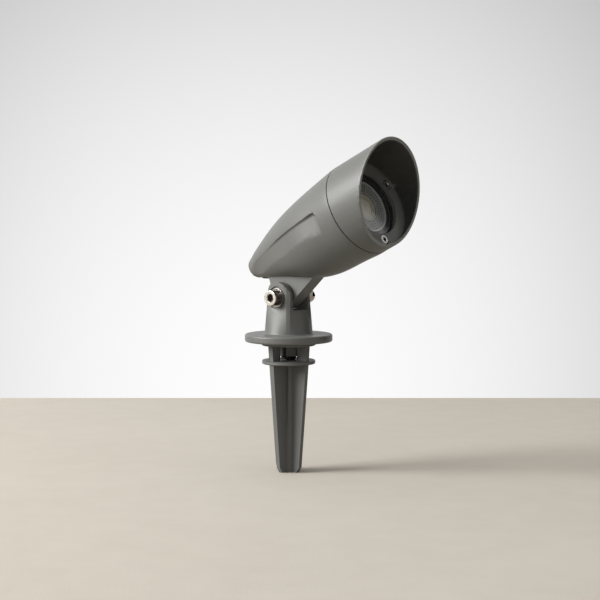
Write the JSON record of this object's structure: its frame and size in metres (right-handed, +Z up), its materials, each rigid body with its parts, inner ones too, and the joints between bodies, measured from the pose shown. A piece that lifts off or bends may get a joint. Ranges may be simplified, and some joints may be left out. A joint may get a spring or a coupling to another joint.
{
  "type": "garden spike spotlight",
  "caption": "Bullet-shaped outdoor spotlight with a slanted glare hood on a tilting fork bracket and a cross-blade ground spike.",
  "frame": {"origin": "on the spike's axis, at the level of its blunt foot", "axes": "+Z up along the spike; +X the way the head points; +Y along the pivot axis, towards the dome nut"},
  "size_m": [0.1209, 0.0612, 0.2193],
  "materials": {
    "body_coat": "satin powder coat",
    "hood_coat": "satin powder coat",
    "hood_screw_steel": "machined",
    "seal_rubber": "matt",
    "front_glass": "clear",
    "gasket_rubber": "matt",
    "holder_plastic": "matt",
    "lens_plastic": "clear with frosted rim",
    "led_phosphor": "matt",
    "board_white": "gloss",
    "board_screw_steel": "machined",
    "pad_grey": "matt",
    "carrier_aluminium": "milled",
    "carrier_screw_steel": "machined",
    "driver_plastic": "matt",
    "driver_green": "satin",
    "lead_insulation": "satin",
    "grommet_rubber": "matt",
    "fork_coat": "satin powder coat",
    "stud_steel": "zinc plated",
    "lock_nut_steel": "zinc plated",
    "tooth_washer_steel": "zinc plated",
    "pivot_screw_steel": "polished stainless",
    "pivot_washer_steel": "polished stainless",
    "nylon_black": "satin",
    "dome_nut_steel": "polished stainless",
    "spike_plastic": "satin moulded"
  },
  "bodies": {
    "spike": {"ground_spike": "spike_plastic"},
    "bracket": {"fork_bracket": "fork_coat", "hollow_stud": "stud_steel", "lock_nut": "lock_nut_steel", "tooth_washer": "tooth_washer_steel", "pivot_screw": "pivot_screw_steel", "pivot_washers": "pivot_washer_steel", "friction_washers": "nylon_black", "dome_nut": "dome_nut_steel"},
    "head": {"head_body": "body_coat", "hood": "hood_coat", "hood_screws": "hood_screw_steel", "body_seal": "seal_rubber", "front_glass": "front_glass", "glass_gasket": "gasket_rubber", "lens_holder": "holder_plastic", "lens": "lens_plastic", "led_chip": "led_phosphor", "led_board": "board_white", "board_screws": "board_screw_steel", "thermal_pad": "pad_grey", "carrier_plate": "carrier_aluminium", "carrier_screws": "carrier_screw_steel", "driver_case": "driver_plastic", "driver_board": "driver_green", "led_leads": "lead_insulation", "cable_grommet": "grommet_rubber"}
  },
  "joints": [
    {"name": "bracket_swivel", "type": "hinge", "parent": "spike", "child": "bracket", "pos_m": [0, 0, 0.088], "axis": [0, 0, 1], "range_deg": [-175, 175]},
    {"name": "head_tilt", "type": "hinge", "parent": "bracket", "child": "head", "pos_m": [0, 0, 0.1162], "axis": [0, -1, 0], "range_deg": [-40, 65]}
  ]
}
